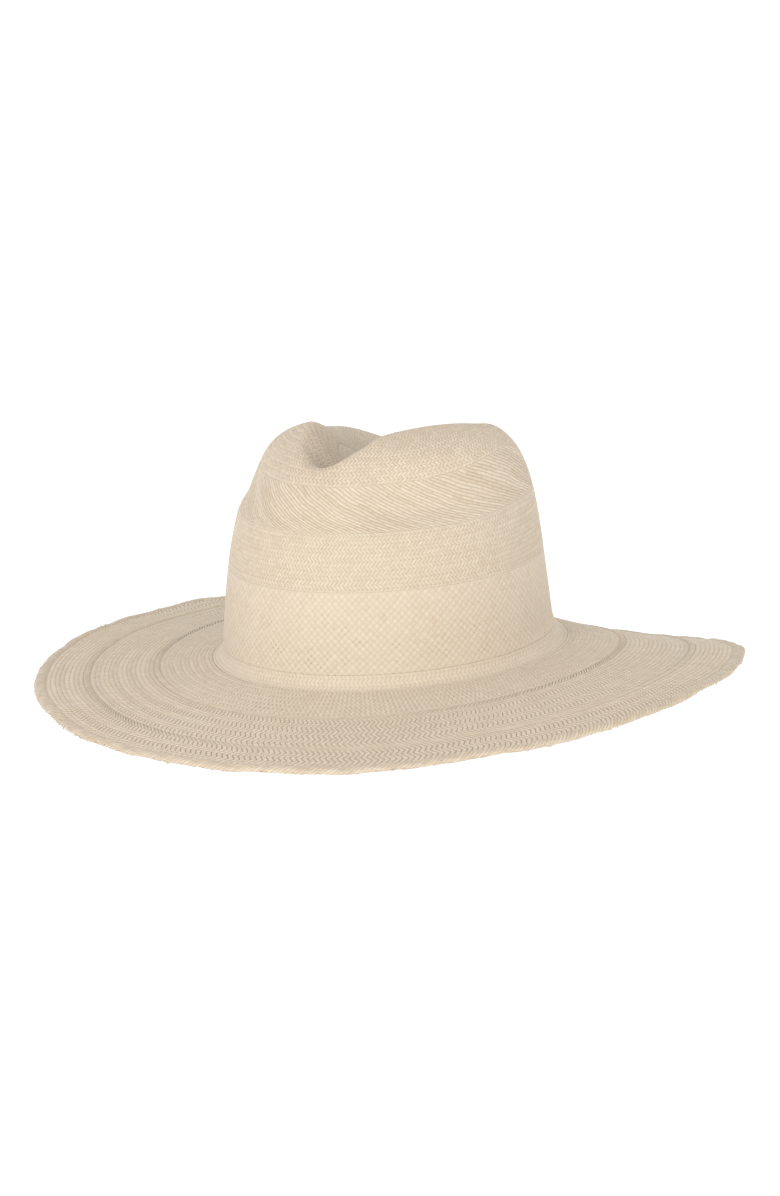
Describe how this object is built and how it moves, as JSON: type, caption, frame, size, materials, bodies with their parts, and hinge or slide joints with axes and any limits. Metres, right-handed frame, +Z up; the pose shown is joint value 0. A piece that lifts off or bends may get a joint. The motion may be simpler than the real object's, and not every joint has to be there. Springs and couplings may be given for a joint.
{
  "type": "panama hat",
  "caption": "Woven straw panama hat with a pinched teardrop crown, wide dipping brim, turned straw edge and leather sweatband with lifting sewn labels.",
  "frame": {"origin": "centre of the head opening, level with the line where the crown meets the brim", "axes": "+Z up out of the crown, -Y to the front of the hat, +X to the wearer's left"},
  "size_m": [0.367, 0.404, 0.1594],
  "materials": {
    "straw_natural": "woven natural straw, matt with a slight sheen on each strand",
    "straw_pale": "woven natural straw, paler rows, matt with a slight sheen",
    "sweatband_leather": "smooth tan leather, satin",
    "reed_tape": "fine woven tape, matt",
    "cotton_thread": "waxed thread, matt",
    "bow_ribbon": "ribbed ribbon, soft sheen",
    "label_ribbon": "blank woven ribbon, satin",
    "dark_thread": "sewing thread, matt"
  },
  "bodies": {
    "hat": {"crown_tip": "straw_natural", "crown_top": "straw_natural", "crown_slanted_band": "straw_natural", "crown_side": "straw_natural", "crown_lower": "straw_pale", "crown_foot": "straw_pale", "brim_inner": "straw_natural", "brim_inner_row": "straw_pale", "brim_middle": "straw_natural", "brim_outer_row": "straw_pale", "brim_outer": "straw_natural", "brim_edge": "straw_pale", "sweatband": "sweatband_leather", "sweatband_reed": "reed_tape", "sweatband_stitches": "cotton_thread", "seam_tape": "sweatband_leather", "seam_stitches": "cotton_thread", "bow_loops": "bow_ribbon", "bow_knot": "bow_ribbon", "care_label_stitches": "dark_thread", "size_tab_stitches": "dark_thread"},
    "care_label": {"care_label": "label_ribbon"},
    "size_tab": {"size_tab": "label_ribbon"}
  },
  "joints": [
    {"name": "care_label_lift", "type": "hinge", "parent": "hat", "child": "care_label", "pos_m": [0.03453, 0.08062, 0.0335], "axis": [-0.8375, 0.5464, 0], "range_deg": [0, 120]},
    {"name": "size_tab_lift", "type": "hinge", "parent": "hat", "child": "size_tab", "pos_m": [-0.04316, 0.07485, 0.0335], "axis": [-0.7532, -0.6578, 0], "range_deg": [0, 120]}
  ]
}
